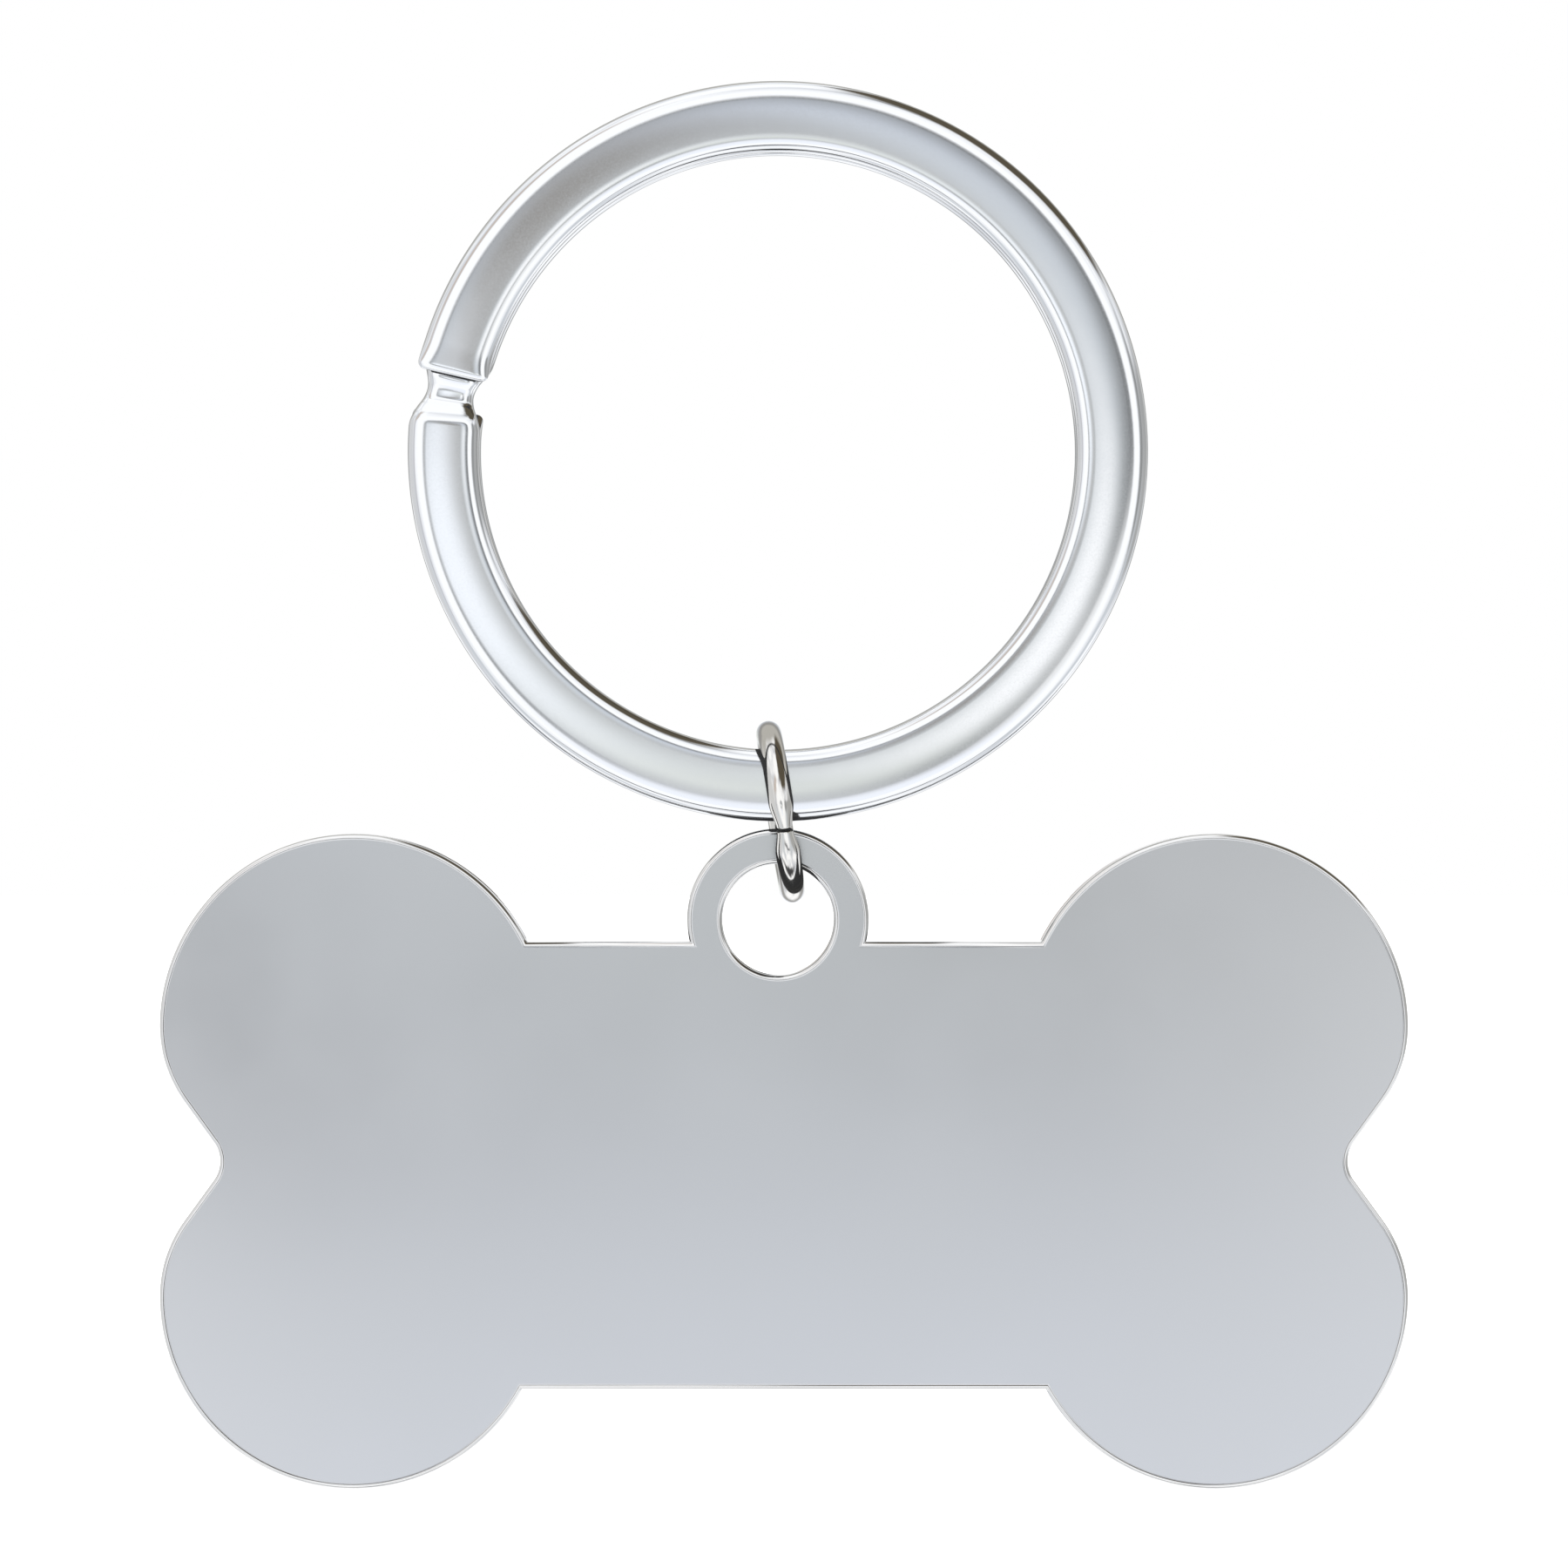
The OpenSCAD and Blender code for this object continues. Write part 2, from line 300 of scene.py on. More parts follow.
def swept_ring(tree, size, angle, height, moved, section, shares, material):
    """Section swept round a ring at a height, then drawn in by the shares, which are for its outer side,
    inner side and thickness, and moved to a new height."""
    line = add(tree, "GeometryNodeCurvePrimitiveLine")
    rail = add(tree, "GeometryNodeResampleCurve", {0: line, "Count": size["Rail points"]})
    cosine = add(tree, MATH, {0: angle}, operation="COSINE")
    sine = add(tree, MATH, {0: angle}, operation="SINE")
    radial = add(tree, "ShaderNodeCombineXYZ", {"X": cosine, "Y": sine})
    flat = add(tree, VECTOR_MATH, {0: radial, "Scale": size["Middle radius"]}, operation="SCALE")
    lift = add(tree, "ShaderNodeCombineXYZ", {"Z": height})
    spot = add(tree, VECTOR_MATH, {0: flat, 1: lift})
    bent = add(tree, "GeometryNodeSetPosition", {"Geometry": rail, "Position": spot})
    turned = add(tree, "GeometryNodeSetCurveNormal", {"Curve": bent, "Normal": radial}, mode="FREE")
    kept = add(tree, "GeometryNodeCaptureAttribute", {"Geometry": turned}, domain="POINT")
    labels = ("Outer share", "Inner share", "Thickness share", "Height", "Moved height")
    for label, value in zip(labels, (*shares, height, moved)):
        kept.capture_items.new("FLOAT", label)
        feed(tree, kept.inputs[label], value)
    swept = add(tree, "GeometryNodeCurveToMesh", {
        "Curve": kept.outputs["Geometry"], "Profile Curve": section, "Fill Caps": True})

    # Each point moves towards the rail: level with the ring by its side's share, upright by the third
    place = add(tree, "ShaderNodeSeparateXYZ", {0: add(tree, "GeometryNodeInputPosition")})
    level = add(tree, "ShaderNodeCombineXYZ", {"X": place.outputs["X"], "Y": place.outputs["Y"]})
    reach = add(tree, VECTOR_MATH, {0: level}, operation="LENGTH").outputs["Value"]
    beyond = add(tree, MATH, {0: reach, 1: size["Middle radius"]}, operation="SUBTRACT")
    outer = add(tree, MATH, {0: beyond, 1: 0.0}, operation="GREATER_THAN")
    side = add(tree, "ShaderNodeMix", {
        "Factor": outer, "A": kept.outputs["Inner share"], "B": kept.outputs["Outer share"]})
    new_reach = add(tree, MATH, {0: beyond, 1: side, 2: size["Middle radius"]}, operation="MULTIPLY_ADD")
    ratio = add(tree, MATH, {0: new_reach, 1: reach}, operation="DIVIDE")
    outward = add(tree, VECTOR_MATH, {0: level, "Scale": ratio}, operation="SCALE")
    above = add(tree, MATH, {0: place.outputs["Z"], 1: kept.outputs["Height"]}, operation="SUBTRACT")
    new_height = add(tree, MATH, {
        0: above, 1: kept.outputs["Thickness share"], 2: kept.outputs["Moved height"]},
        operation="MULTIPLY_ADD")
    upward = add(tree, "ShaderNodeCombineXYZ", {"Z": new_height})
    final = add(tree, VECTOR_MATH, {0: outward, 1: upward})
    shaped = add(tree, "GeometryNodeSetPosition", {"Geometry": swept, "Position": final})
    smooth = add(tree, "GeometryNodeSetShadeSmooth", {"Geometry": shaped})
    real = add(tree, "GeometryNodeRealizeInstances", {"Geometry": smooth})
    painted = add(tree, "GeometryNodeSetMaterial", {"Geometry": real, "Material": material})
    add(tree, "NodeGroupOutput", {"Geometry": painted})


def swell(tree, angle, centre, span):
    """Smooth bump, 1 at the centre and 0 beyond the span on both sides."""
    off = add(tree, MATH, {0: angle, 1: centre}, operation="SUBTRACT")
    away = add(tree, MATH, {0: off}, operation="ABSOLUTE")
    return add(tree, "ShaderNodeMapRange", {
        "Value": away, "From Min": span, "From Max": 0.0}, interpolation_type="SMOOTHSTEP")


def strip_tree(material):
    """Flat strip wound in two coils, which steps from the back coil to the front one at a pressed neck."""
    tree, size = new_tree("wound_strip", [
        ("Middle radius", RING_R - BAND_W / 2),
        ("Strip width", BAND_W),
        ("Strip thickness", COIL_T),
        ("Layer height", LAYER),
        ("Squareness", STRIP_SQUARENESS),
        ("Crown", STRIP_CROWN),
        ("Start angle", math.radians(BACK_END_AT)),
        ("End angle", math.radians(FRONT_END_AT)),
        ("Step from", math.radians(STEP_PROFILE[0][0] + 360)),
        ("Step to", math.radians(STEP_PROFILE[-1][0] + 360)),
        ("Outer neck angle", math.radians(NECK_OUTER_AT)),
        ("Inner neck angle", math.radians(NECK_INNER_AT)),
        ("Neck span", math.radians(NECK_SPAN)),
        ("Press angle", math.radians(PRESS_AT)),
        ("Press span", math.radians(PRESS_SPAN)),
        ("Outer narrowing", NECK_OUTER_IN),
        ("Inner narrowing", NECK_INNER_IN),
        ("Neck thinning", NECK_THIN / 2),
        ("End rounding", END_R),
        ("End taper", END_TAPER),
        ("Taper length", TAPER_LENGTH),
        ("Rail points", 640),
        ("Section points", 96),
    ])
    share = rail_share(tree, size, STRIP_CROWDING, 2)
    angle = add(tree, "ShaderNodeMapRange", {
        "Value": share, "To Min": size["Start angle"], "To Max": size["End angle"]})
    stepped = add(tree, "ShaderNodeMapRange", {
        "Value": angle, "From Min": size["Step from"], "From Max": size["Step to"]})
    profile = add(tree, "ShaderNodeFloatCurve", {"Value": stepped})
    marks = profile.mapping.curves[0].points
    first, last = STEP_PROFILE[0][0], STEP_PROFILE[-1][0]
    for at, share_up in STEP_PROFILE[1:-1]:
        marks.new((at - first) / (last - first), share_up)
    profile.mapping.update()
    middle = add(tree, MATH, {0: profile, 1: -0.5}, operation="ADD")
    twice = add(tree, MATH, {0: size["Layer height"], 1: 2.0}, operation="MULTIPLY")
    height = add(tree, MATH, {0: middle, 1: twice}, operation="MULTIPLY")

    from_start = add(tree, MATH, {0: angle, 1: size["Start angle"]}, operation="SUBTRACT")
    from_end = add(tree, MATH, {0: size["End angle"], 1: angle}, operation="SUBTRACT")
    nearer = add(tree, MATH, {0: from_start, 1: from_end}, operation="MINIMUM")
    run = add(tree, MATH, {0: nearer, 1: size["Middle radius"]}, operation="MULTIPLY")
    inset = end_inset(tree, run, size["End rounding"])
    wedge = add(tree, "ShaderNodeMapRange", {
        "Value": run, "From Min": size["Taper length"], "From Max": 0.0, "To Max": size["End taper"]},
        interpolation_type="SMOOTHSTEP")
    # The wedge is taken off one side, so the middle of what is left moves towards the other side
    aside = add(tree, MATH, {0: middle}, operation="SIGN")
    shift = add(tree, MATH, {0: wedge, 1: aside}, operation="MULTIPLY")
    moved = add(tree, MATH, {0: shift, 1: 0.5, 2: height}, operation="MULTIPLY_ADD")
    shares = []
    for place, span, depth, full in (
        ("Outer neck angle", "Neck span", "Outer narrowing", "Strip width"),
        ("Inner neck angle", "Neck span", "Inner narrowing", "Strip width"),
        ("Press angle", "Press span", "Neck thinning", "Strip thickness"),
    ):
        bump = swell(tree, angle, size[place], size[span])
        drawn = add(tree, MATH, {0: bump, 1: size[depth], 2: inset}, operation="MULTIPLY_ADD")
        shares.append(share_left(tree, drawn, size[full]))
    ground = add(tree, MATH, {0: wedge, 1: size["Strip thickness"]}, operation="DIVIDE")
    unground = add(tree, MATH, {0: 1.0, 1: ground}, operation="SUBTRACT")
    shares[2] = add(tree, MATH, {0: shares[2], 1: unground}, operation="MULTIPLY")

    # The section is a superellipse: flat faces, and fully rounded edges
    circle = add(tree, "GeometryNodeCurvePrimitiveCircle", {
        "Resolution": size["Section points"], "Radius": 1.0})
    spot = add(tree, "ShaderNodeSeparateXYZ", {0: add(tree, "GeometryNodeInputPosition")})
    power = add(tree, MATH, {0: 2.0, 1: size["Squareness"]}, operation="DIVIDE")
    size_x = add(tree, MATH, {0: spot.outputs["X"]}, operation="ABSOLUTE")
    square_x = add(tree, MATH, {0: size_x, 1: power}, operation="POWER")
    sign_x = add(tree, MATH, {0: spot.outputs["X"]}, operation="SIGN")
    across = add(tree, MATH, {0: square_x, 1: sign_x}, operation="MULTIPLY")
    fall = add(tree, MATH, {0: square_x, 1: 2.0}, operation="POWER")
    crown = add(tree, MATH, {0: fall, 1: size["Crown"]}, operation="MULTIPLY")
    kept = add(tree, MATH, {0: 1.0, 1: crown}, operation="SUBTRACT")
    up = add(tree, MATH, {0: spot.outputs["Y"], 1: kept}, operation="MULTIPLY")
    unit = add(tree, "ShaderNodeCombineXYZ", {"X": across, "Y": up})
    half = add(tree, "ShaderNodeCombineXYZ", {"X": size["Strip width"], "Y": size["Strip thickness"]})
    doubled = add(tree, VECTOR_MATH, {0: unit, 1: half}, operation="MULTIPLY")
    halved = add(tree, VECTOR_MATH, {0: doubled, "Scale": 0.5}, operation="SCALE")
    section = add(tree, "GeometryNodeSetPosition", {"Geometry": circle, "Position": halved})
    swept_ring(tree, size, angle, height, moved, section, shares, material)
    return tree


def wire_tree(material):
    """Round wire bent to an open ring, pinched by the cutters on both sides of the cut."""
    tree, size = new_tree("open_wire_ring", [
        ("Middle radius", JUMP_R),
        ("Wire diameter", WIRE_D),
        ("Half cut", CUT_GAP / JUMP_R / 2),
        ("Pinch", PINCH),
        ("Pinch span", math.radians(PINCH_SPAN)),
        ("End rounding", WIRE_END_R),
        ("Rail points", 560),
        ("Section points", 64),
    ])
    share = rail_share(tree, size, WIRE_CROWDING, 1)
    last = add(tree, MATH, {0: 2 * math.pi, 1: size["Half cut"]}, operation="SUBTRACT")
    angle = add(tree, "ShaderNodeMapRange", {"Value": share, "To Min": size["Half cut"], "To Max": last})
    other_way = add(tree, MATH, {0: 2 * math.pi, 1: angle}, operation="SUBTRACT")
    from_cut = add(tree, MATH, {0: angle, 1: other_way}, operation="MINIMUM")
    from_end = add(tree, MATH, {0: from_cut, 1: size["Half cut"]}, operation="SUBTRACT")
    run = add(tree, MATH, {0: from_end, 1: size["Middle radius"]}, operation="MULTIPLY")
    inset = end_inset(tree, run, size["End rounding"])
    pinched = swell(tree, from_cut, 0.0, size["Pinch span"])
    # The cutters narrow the wire sideways twice as much as in depth
    half_pinch = add(tree, MATH, {0: size["Pinch"], 1: 0.5}, operation="MULTIPLY")
    depth_in = add(tree, MATH, {0: pinched, 1: half_pinch, 2: inset}, operation="MULTIPLY_ADD")
    side_in = add(tree, MATH, {0: pinched, 1: size["Pinch"], 2: inset}, operation="MULTIPLY_ADD")
    depth = share_left(tree, depth_in, size["Wire diameter"])
    side = share_left(tree, side_in, size["Wire diameter"])
    wire_r = add(tree, MATH, {0: size["Wire diameter"], 1: 0.5}, operation="MULTIPLY")
    section = add(tree, "GeometryNodeCurvePrimitiveCircle", {
        "Resolution": size["Section points"], "Radius": wire_r})
    swept_ring(tree, size, angle, 0.0, 0.0, section, (depth, depth, side), material)
    return tree


def mesh_from_tree(name, tree, placement):
    """Plain mesh object from a tree's result, put in its place and scaled to metres."""
    host = add_object(name + "_host", bpy.data.meshes.new(name + "_host"))
    modifier = host.modifiers.new("shape", "NODES")
    modifier.node_group = tree
    for item in tree.interface.items_tree:
        if item.in_out == "INPUT":
            modifier[item.identifier] = item.default_value
    graph = bpy.context.evaluated_depsgraph_get()
    mesh = bpy.data.meshes.new_from_object(host.evaluated_get(graph), depsgraph=graph)
    host.modifiers.remove(modifier)
    bpy.data.objects.remove(host)
    mesh.name = name
    mesh.transform(Matrix.Scale(MM, 4) @ placement)
    close_mesh(mesh)
    return add_object(name, mesh)


def close_mesh(mesh):
    """Merges doubled points and turns every face outwards."""
    work = bmesh.new()
    work.from_mesh(mesh)
    bmesh.ops.remove_doubles(work, verts=work.verts, dist=1e-7)
    bmesh.ops.recalc_face_normals(work, faces=work.faces)
    work.to_mesh(mesh)
    work.free()


def arc(centre, radius, start, end, steps):
    """Points on an arc, angles in degrees, both ends included."""
    turns = [math.radians(start + (end - start) * i / steps) for i in range(steps + 1)]
    return [(centre[0] + radius * math.cos(t), centre[1] + radius * math.sin(t)) for t in turns]


def quarter_outline(inward, bar_edge):
    """Upper right quarter of the tag's outline, from the notch to the bar's edge, drawn in by inward."""
    lobe = (TAG_W / 2 - LOBE_R, TAG_H / 2 - LOBE_R)
    slope = math.radians(NOTCH_ANGLE)
    near = LOBE_R - FLANK_BITE
    notch_x = lobe[0] + (near + NOTCH_R - lobe[1] * math.sin(slope)) / math.cos(slope)
    reach = near - FLANK_R
    rise = math.sqrt((LOBE_R - FLANK_R) ** 2 - reach ** 2)
    blend = (lobe[0] + reach * math.cos(slope) + rise * math.sin(slope),
             lobe[1] - reach * math.sin(slope) + rise * math.cos(slope))
    meet = math.degrees(math.atan2(blend[1] - lobe[1], blend[0] - lobe[0]))
    end = 180 - math.degrees(math.asin((bar_edge - inward - lobe[1]) / (LOBE_R - inward)))
    return (arc((notch_x, 0), NOTCH_R + inward, 180, 180 - NOTCH_ANGLE, 12)
            + arc(blend, FLANK_R - inward, -NOTCH_ANGLE, meet, 16)
            + arc(lobe, LOBE_R - inward, meet, end, 110)[1:])


def tag_outline(inward):
    """Whole outline of the tag about its own middle, drawn in by inward."""
    bar_top = BAR_H / 2 - BAR_DROP
    bar_bottom = BAR_H / 2 + BAR_DROP
    loop_z = bar_top + LOOP_UP
    upper = quarter_outline(inward, bar_top)
    lower = quarter_outline(inward, bar_bottom)
    dip = math.degrees(math.asin((bar_top - inward - loop_z) / (LOOP_R - inward)))
    loop = arc((-LOOP_SHIFT, loop_z), LOOP_R - inward, dip, 180 - dip, 120)
    left_upper = [(-x, z) for x, z in reversed(upper)]
    left_lower = [(-x, -z) for x, z in lower[1:]]
    right_lower = [(x, -z) for x, z in reversed(lower[1:])]
    return upper + loop + left_upper + left_lower + right_lower


def hole_outline(outward):
    """Outline of the hole, widened by outward."""
    loop_z = BAR_H / 2 - BAR_DROP + LOOP_UP
    return arc((-LOOP_SHIFT, loop_z), HOLE_R + outward, 0, 360, 160)[:-1]


def plate_mesh(name, material):
    """Plate between two flat faces, whose outer edge and hole have edges rounded by a quarter circle."""
    turns = [math.radians(90 * i / EDGE_STEPS) for i in range(EDGE_STEPS + 1)]
    half = TAG_T / 2
    rounding = [(EDGE_R * (1 - math.sin(t)), half - EDGE_R * (1 - math.cos(t))) for t in turns]
    front = [(EDGE_R + EDGE_MARGIN, half)] + rounding[::-1]
    profile = front + [(d, -y) for d, y in reversed(front)]
    work = bmesh.new()
    burnish_and_edge_highlight = work.verts.layers.float.new("burnish_and_edge_highlight")
    rims = []
    for outline in (tag_outline, hole_outline):
        loops = [[work.verts.new((x, -y, z)) for x, z in outline(d)] for d, y in profile]
        # Points of the rounded edge get 1: there the material makes the surface smoother and paints a
        # brighter highlight colour
        for loop in loops[1:-1]:
            for vert in loop:
                vert[burnish_and_edge_highlight] = 1.0
        count = len(loops[0])
        for near, far in zip(loops, loops[1:]):
            for i in range(count):
                j = (i + 1) % count
                face = work.faces.new((near[i], near[j], far[j], far[i]))
                face.smooth = True
        rims.append((loops[0], loops[-1]))
    for outer, inner in zip(*rims):
        edges = [work.edges.get((a, b)) for rim in (outer, inner) for a, b in zip(rim, rim[1:] + rim[:1])]
        bmesh.ops.triangle_fill(work, use_beauty=True, use_dissolve=False, edges=edges)
    bmesh.ops.recalc_face_normals(work, faces=work.faces)
    mesh = bpy.data.meshes.new(name)
    work.to_mesh(mesh)
    work.free()
    mesh.materials.append(material)
    return mesh


def make_tag(material):
    """The plate, put in its place."""
    mesh = plate_mesh("bone_plate", material)
    mesh.transform(Matrix.Scale(MM, 4) @ Matrix.Translation((TAG_X, 0, TAG_Z)))
    return add_object("bone_plate", mesh)


def make_split_ring(material):
    """The wound strip, stood up from the plane that it is swept in."""
    placement = Matrix.Translation((0, 0, RING_Z)) @ Matrix.Rotation(math.radians(90), 4, "X")
    return mesh_from_tree("wound_ring", strip_tree(material), placement)


def make_jump_ring(material):
    """The ring's own plane is turned so that its cut faces the front, then turned and leaned."""
    upright = Matrix(((0, 0, 1, 0), (-1, 0, 0, 0), (0, -1, 0, 0), (0, 0, 0, 1)))
    placement = (Matrix.Translation((JUMP_X, 0, JUMP_Z))
                 @ Matrix.Rotation(math.radians(-LEAN), 4, "Y")
                 @ Matrix.Rotation(math.radians(TURN), 4, "Z")
                 @ upright
                 @ Matrix.Rotation(math.radians(CUT_ANGLE), 4, "Z"))
    return mesh_from_tree("wire_ring", wire_tree(material), placement)


# Studio seen in the metal: a white tent with soft patches of light and shade. Each patch has a side,
# which is the way it lies off the front (0 is right, 90 is up), its angle off the front, half its
# length round the front and half its breadth away from it, all in degrees, its feather as a share of
# its size, its colour and its amount. The window is the opening that the camera looks through.
STUDIO_PATCHES = [
    ("back_wall", 90, 140, 75, 36, 0.3, "B4B2AC", 1.0),
    ("brown_flag", 57.5, 83, 25, 42, 0.13, "564F42", 1.0),
    ("right_wall", 2, 78, 22, 36, 0.3, "9C9C9A", 0.9),
    ("left_wall", 180, 80, 30, 34, 0.4, "D0D0D0", 1.0),
    ("left_sweep", 213, 52, 22, 13, 0.6, "C6CACE", 0.9),
    ("right_sweep", 327, 52, 22, 13, 0.6, "C6CACE", 0.9),
    ("tan_rail", 132, 44, 24, 6, 0.5, "C2B4A8", 0.85),
    ("right_rail", 8, 42, 15, 8, 0.5, "868786", 0.9),
    ("left_rail", 182, 44, 14, 6, 0.5, "B9B8BC", 0.85),
    ("overhead_softbox", 96, 58, 15, 19, 0.35, "FFFFFF", 1.0),
    ("near_table_edge", 268, 34, 26, 3.2, 0.5, "2E2E32", 0.9),
    ("far_table_edge", 268, 82, 40, 6, 0.4, "1A1A1C", 0.95),
    ("window_frame", 76, 2.9, 11.6, 11.6, 0.15, "767879", 0.95),
    ("frame_gap", 250, 10.5, 8, 7, 0.4, "FAFBFF", 0.2),
    ("frame_corner", 344, 10.2, 5, 4.4, 0.6, "F8F8F7", 0.85),
    ("window", 105, 4.75, 7.1, 7.1, 0.3, None, 1.0),
    ("window_foot", 273, 10.5, 11, 6.8, 0.45, None, 1.0),
    ("back_shade", 90, 180, 50, 33, 0.15, "8E8D8B", 0.9),
    ("back_window", 90, 180, 18, 18, 0.4, None, 1.0),
    ("upper_left_shade", 114, 7.6, 2.6, 3.9, 0.75, "88837C", 0.82),
    ("right_softbox", 36, 3.8, 2.3, 2.1, 0.75, "FFFFFF", 1.0),
    ("left_softbox", 158, 6.0, 3.2, 3.2, 0.8, "F8FBFF", 1.0),
]
# Colour in the window from its lower edge to its upper one, as shares of the height
WINDOW_SPREAD = 10
WINDOW_STOPS = [
    (0.0, "F2F5FB"), (0.28, "EAECF1"), (0.44, "E2E5E0"), (0.5, "D6D9D5"), (0.7, "CDD1D3"), (1.0, "C8CDD5")]
STUDIO_STRENGTH = 1.15
# Level of the light that everything but metal gets from the studio
PLAIN_STRENGTH = 0.6
# Creases in the tent pull the shapes seen in it about, by this share of the distance, away from the front
CREASE = 0.35
CREASE_SCALE = 2.4
CREASED_FROM = 25
# Creases also shade the tent, between these levels of their noise, and begin off the front, where the
# cosine of the angle off it falls from one share to the other
FOLD_LEVELS = 0.42, 0.62
FOLDS_OFF_FRONT = 0.92, 0.75
FOLD_SHADE = "D2D4D8"
# What metal shows of the studio by way of other metal, which keeps the gaps between pieces dark
SECOND_STRENGTH = 0.05


def make_world():
    """White for the camera, the studio tent for metal, and a plain level for everything else."""
    world = bpy.data.worlds.new("studio")
    bpy.context.scene.world = world
    world.use_nodes = True
    tree = world.node_tree
    tree.nodes.clear()
    way = add(tree, "ShaderNodeTexCoord").outputs["Generated"]
    parts = add(tree, "ShaderNodeSeparateXYZ", {0: way}).outputs
    creases = add(tree, "ShaderNodeTexNoise", {"Vector": way, "Scale": CREASE_SCALE, "Detail": 3.0}).outputs
    pull = add(tree, VECTOR_MATH, {0: creases["Color"], 1: (0.5, 0.5, 0.5)}, operation="SUBTRACT")
    wavy = add(tree, VECTOR_MATH, {0: pull, 1: (CREASE,) * 3, 2: way}, operation="MULTIPLY_ADD")
    spread = math.sin(math.radians(WINDOW_SPREAD))
    rise = add(tree, "ShaderNodeMapRange", {"Value": parts["Z"], "From Min": -spread, "From Max": spread})
    window = add(tree, "ShaderNodeValToRGB", {"Fac": rise})
    marks = window.color_ramp.elements
    for mark, (position, colour) in zip(marks, (WINDOW_STOPS[0], WINDOW_STOPS[-1])):
        mark.position = position
        mark.color = linear(colour)
    for position, colour in WINDOW_STOPS[1:-1]:
        marks.new(position).color = linear(colour)
    folds = add(tree, "ShaderNodeMapRange", {
        "Value": creases["Fac"], "From Min": FOLD_LEVELS[0], "From Max": FOLD_LEVELS[1]},
        interpolation_type="SMOOTHSTEP")
    aside = add(tree, "ShaderNodeMapRange", {
        "Value": parts["Y"], "From Min": -FOLDS_OFF_FRONT[0], "From Max": -FOLDS_OFF_FRONT[1]})
    folded = add(tree, MATH, {0: folds, 1: aside}, operation="MULTIPLY")
    seen = add(tree, "ShaderNodeMixRGB", {0: folded, 1: linear("FFFFFF"), 2: linear(FOLD_SHADE)})
    for name, side, off_front, length, breadth, feather, colour, amount in STUDIO_PATCHES:
        turn, tilt = math.radians(side), math.radians(off_front)
        outward = Vector((math.cos(turn), 0, math.sin(turn)))
        front = Vector((0, -1, 0))
        middle = front * math.cos(tilt) + outward * math.sin(tilt)
        away = outward * math.cos(tilt) - front * math.sin(tilt)
        along = middle.cross(away)
        looked = wavy if off_front > CREASED_FROM else way
        nearness = add(tree, VECTOR_MATH, {0: looked, 1: middle}, operation="DOT_PRODUCT").outputs["Value"]
        offsets = [
            add(tree, VECTOR_MATH, {0: looked, 1: axis / math.sin(math.radians(extent))},
                operation="DOT_PRODUCT").outputs["Value"]
            for axis, extent in ((along, length), (away, breadth))]
        offset = add(tree, "ShaderNodeCombineXYZ", {0: offsets[0], 1: offsets[1]})
        far = add(tree, VECTOR_MATH, {0: offset}, operation="LENGTH").outputs["Value"]
        inside = add(tree, "ShaderNodeMapRange", {
            "Value": far, "From Min": 1 + feather, "From Max": 1 - feather, "To Max": amount},
            interpolation_type="SMOOTHSTEP")
        this_side = add(tree, MATH, {0: nearness, 1: 0.0}, operation="GREATER_THAN")
        factor = add(tree, MATH, {0: inside, 1: this_side}, operation="MULTIPLY")
        shade = linear(colour) if colour else window.outputs["Color"]
        seen = add(tree, "ShaderNodeMixRGB", {0: factor, 1: seen, 2: shade}, label=name)
    path = add(tree, "ShaderNodeLightPath").outputs
    studio = add(tree, "ShaderNodeBackground", {"Color": seen, "Strength": STUDIO_STRENGTH})
    plain, dim, white = (
        add(tree, "ShaderNodeBackground", {"Color": linear("FFFFFF"), "Strength": strength})
        for strength in (PLAIN_STRENGTH, SECOND_STRENGTH, 1.0))
    # The depth is 1 for metal seen straight, and 2 or more for metal seen in metal
    again = add(tree, MATH, {0: path["Glossy Depth"], 1: 1.5}, operation="GREATER_THAN")
    mirrored = add(tree, "ShaderNodeMixShader", {0: again, 1: studio, 2: dim})
    metal = add(tree, "ShaderNodeMixShader", {0: path["Is Glossy Ray"], 1: plain, 2: mirrored})
    straight = add(tree, MATH, {
        0: path["Is Camera Ray"], 1: path["Is Transmission Ray"]}, operation="MAXIMUM")
    background = add(tree, "ShaderNodeMixShader", {0: straight, 1: metal, 2: white})
    add(tree, "ShaderNodeOutputWorld", {"Surface": background})


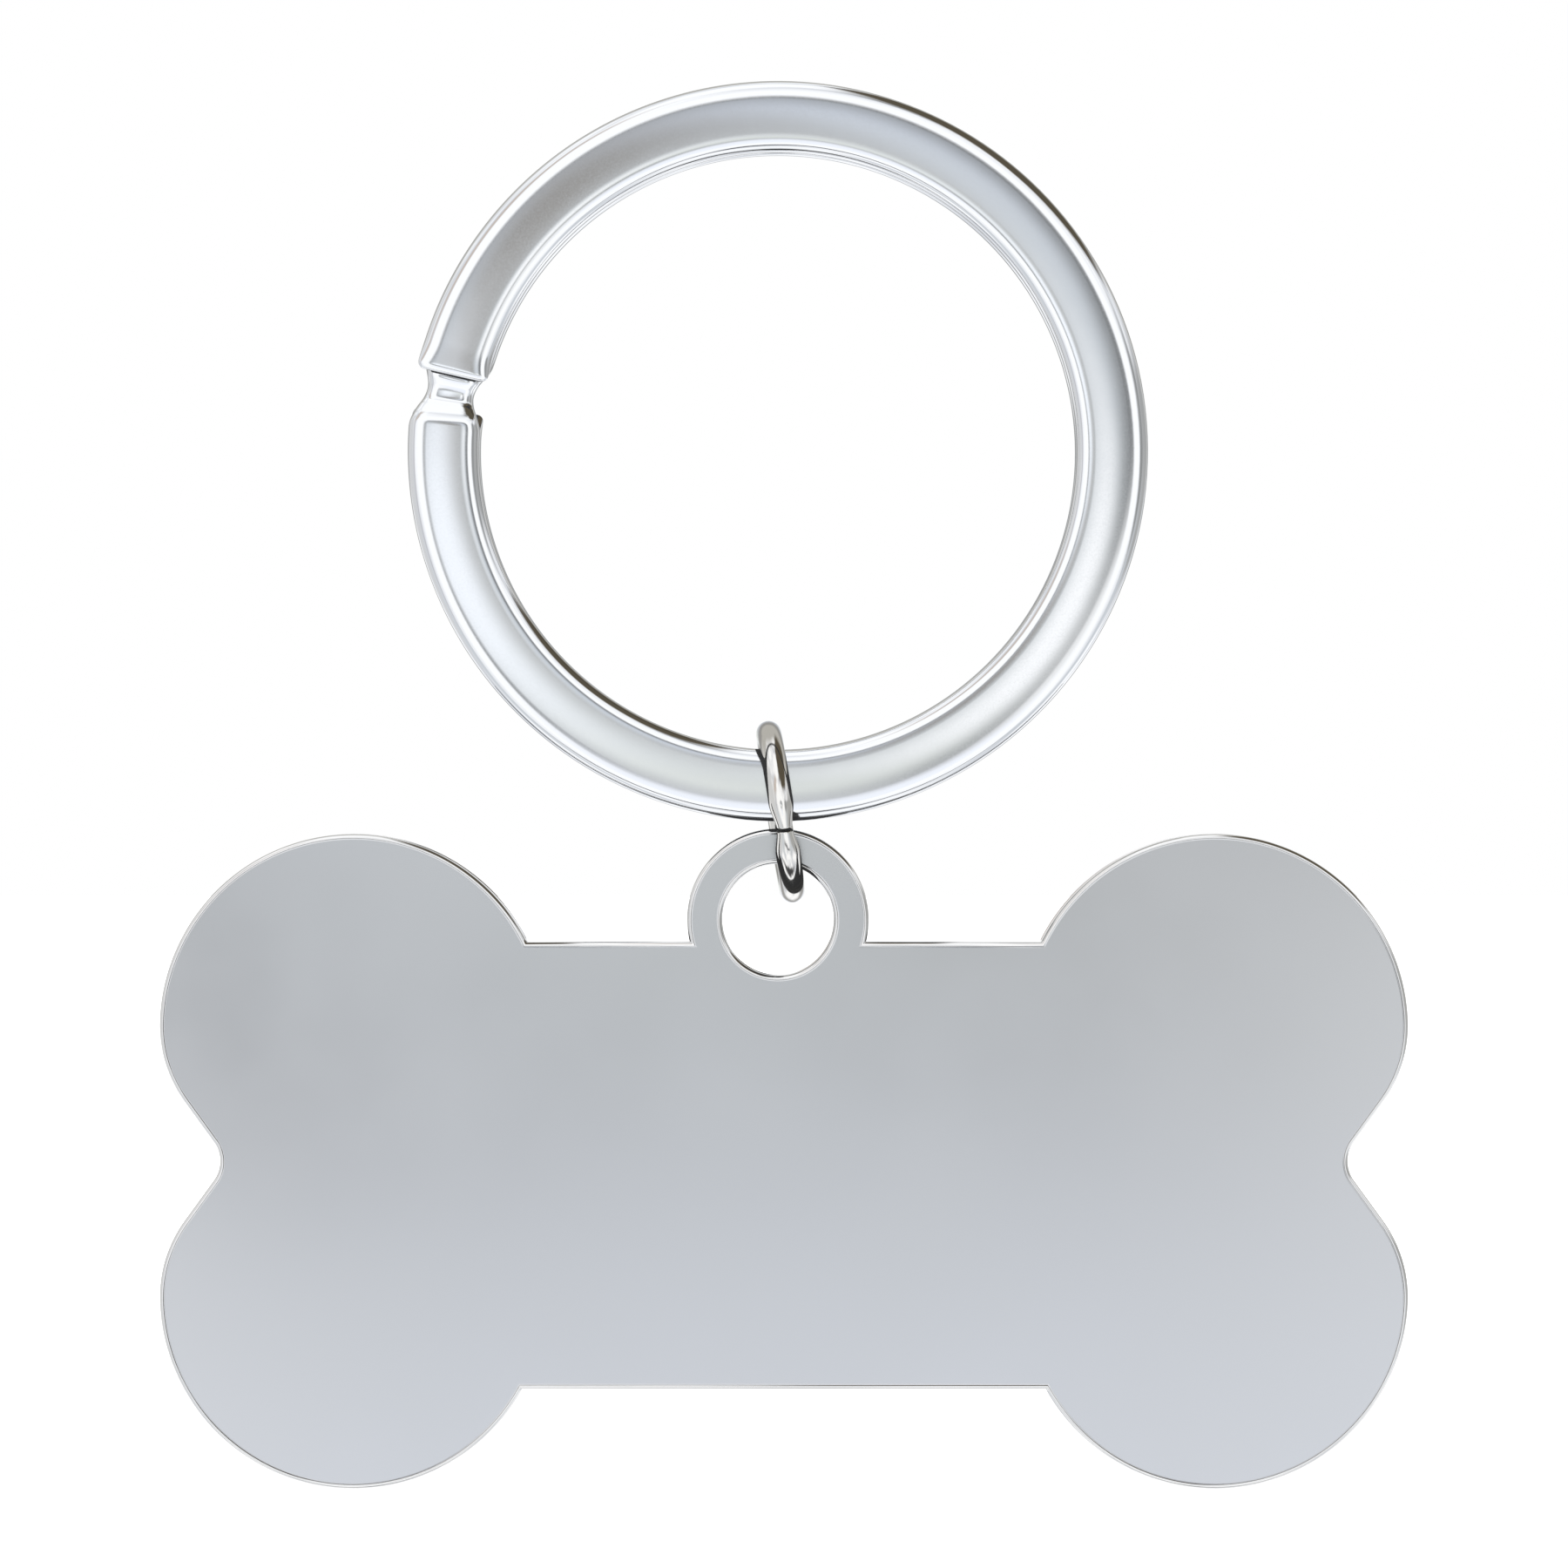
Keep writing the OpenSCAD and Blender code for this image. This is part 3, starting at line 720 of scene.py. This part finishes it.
def white_paper():
    """Matt white sweep paper: white to the camera, with the object's soft shadow left on it near the
    object."""
    material, tree = new_material("white_paper")
    place = add(tree, "ShaderNodeTexCoord").outputs["Object"]
    reach = add(tree, VECTOR_MATH, {0: place}, operation="LENGTH").outputs["Value"]
    far = add(tree, "ShaderNodeMapRange", {
        "Value": reach, "From Min": PAPER_SHADED_TO * MM, "From Max": PAPER_WHITE_FROM * MM,
        "To Min": PAPER_GLOW, "To Max": 1.0}, interpolation_type="SMOOTHSTEP")
    matt = add(tree, "ShaderNodeBsdfDiffuse", {"Color": linear("E4E4E4")})
    glow = add(tree, "ShaderNodeEmission", {"Color": linear("FFFFFF"), "Strength": far})
    lit = add(tree, "ShaderNodeAddShader", {0: matt, 1: glow})
    seen = add(tree, "ShaderNodeMixShader", {
        0: add(tree, "ShaderNodeLightPath").outputs["Is Camera Ray"], 1: matt, 2: lit})
    add(tree, "ShaderNodeOutputMaterial", {"Surface": seen})
    return material


def make_floor():
    """Sheet of paper below the tag, which metal doesn't show."""
    half = FLOOR_W / 2 * MM
    level = (tag_low.z - FLOOR_DROP) * MM
    mesh = bpy.data.meshes.new("floor")
    corners = [(x, y, level) for x, y in ((-half, -half), (half, -half), (half, half), (-half, half))]
    mesh.from_pydata(corners, [], [(0, 1, 2, 3)])
    mesh.materials.append(white_paper())
    floor = add_object("floor", mesh)
    floor.visible_glossy = False


def make_lamp():
    """Large soft lamp above and in front, which gives the floor its shadow."""
    lamp = bpy.data.lights.new("overhead_softbox", "AREA")
    lamp.shape = "DISK"
    lamp.size = LAMP_W
    lamp.energy = LAMP_POWER
    lamp_object = add_object("overhead_softbox", lamp)
    lamp_object.location = LAMP_AT
    aim = Vector((0, 0, RING_Z * MM)) - lamp_object.location
    lamp_object.rotation_euler = aim.to_track_quat("-Z", "Y").to_euler()
    lamp_object.visible_glossy = False


def make_camera():
    """The photograph's view: level, square to the tag, with the photograph's perspective."""
    camera = bpy.data.cameras.new("camera")
    camera.sensor_width = SENSOR_W
    camera.lens = SENSOR_W * FOCAL_PX / PHOTO_PX
    camera.clip_start = 0.01
    camera_object = add_object("camera", camera)
    camera_object.location = Vector((CAMERA_X, CAMERA_Y, CAMERA_Z)) * MM
    camera_object.rotation_euler = (math.radians(90), 0, 0)
    bpy.context.scene.camera = camera_object


make_camera()
make_world()
make_floor()
make_lamp()
bpy.context.scene.view_settings.view_transform = "Standard"

wound_ring = make_split_ring(bright_nickel_strip())
wire_ring = make_jump_ring(bright_nickel_wire())
bone_plate = make_tag(polished_stainless_sheet())

for piece, body, node_name, slot_name in (
    (wound_ring, "split_ring", "split_ring", "ring_nickel"),
    (wire_ring, "jump_ring", "jump_ring", "wire_nickel"),
    (bone_plate, "tag", "bone_tag", "tag_steel"),
):
    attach(piece, body)
    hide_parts(node_name)
